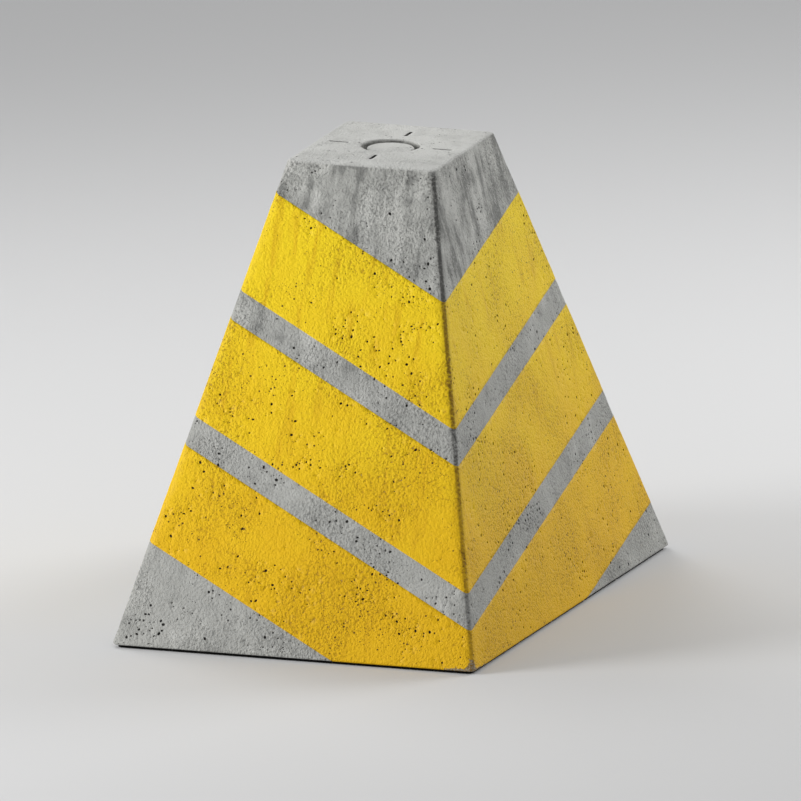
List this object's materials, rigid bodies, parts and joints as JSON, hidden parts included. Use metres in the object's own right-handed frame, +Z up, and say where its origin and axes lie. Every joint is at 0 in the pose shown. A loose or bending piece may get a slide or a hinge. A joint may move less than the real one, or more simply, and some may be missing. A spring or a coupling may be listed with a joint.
{
  "type": "concrete traffic barrier block",
  "caption": "Tapered reinforced concrete traffic barrier block with inclined yellow bands, a rubber pad and a plugged lifting recess in its top.",
  "frame": {"origin": "on the ground under the middle of the block", "axes": "+Z up, X across the block's width, Y along its length; the face that the picture shows on the left looks towards -Y and the one on the right towards +X"},
  "size_m": [0.6684, 1.0568, 0.81],
  "materials": {
    "concrete": "fair-faced cast concrete with air holes",
    "yellow_marking": "satin traffic yellow marking paint",
    "pad_rubber": "matt black rubber sheet",
    "plug_mortar": "smooth cast mortar",
    "ring_rubber": "matt black rubber",
    "anchor_steel": "forged and galvanised",
    "bar_steel": "ribbed reinforcing bar with mill scale and light rust",
    "spacer_mortar": "cast fibre mortar",
    "spacer_plastic": "moulded recycled plastic"
  },
  "bodies": {
    "block": {"concrete_body": "concrete", "upper_band": "yellow_marking", "middle_band": "yellow_marking", "lower_band": "yellow_marking", "base_pad": "pad_rubber", "lifting_anchor": "anchor_steel", "anchor_bars_across": "bar_steel", "anchor_bars_along": "bar_steel", "corner_bar_front_left": "bar_steel", "corner_bar_front_right": "bar_steel", "corner_bar_back_left": "bar_steel", "corner_bar_back_right": "bar_steel", "face_bar_front": "bar_steel", "face_bar_back": "bar_steel", "face_bar_left": "bar_steel", "face_bar_right": "bar_steel", "link_1": "bar_steel", "link_2": "bar_steel", "link_3": "bar_steel", "link_4": "bar_steel", "link_5": "bar_steel", "link_6": "bar_steel", "mesh_bars_across": "bar_steel", "mesh_bars_along": "bar_steel", "base_spacers": "spacer_mortar", "wheel_spacers": "spacer_plastic"},
    "plug": {"recess_plug": "plug_mortar", "plug_ring": "ring_rubber"}
  },
  "joints": [
    {"name": "plug_lift", "type": "slide", "parent": "block", "child": "plug", "axis": [0, 0, 1], "range_m": [0, 0.07]}
  ]
}
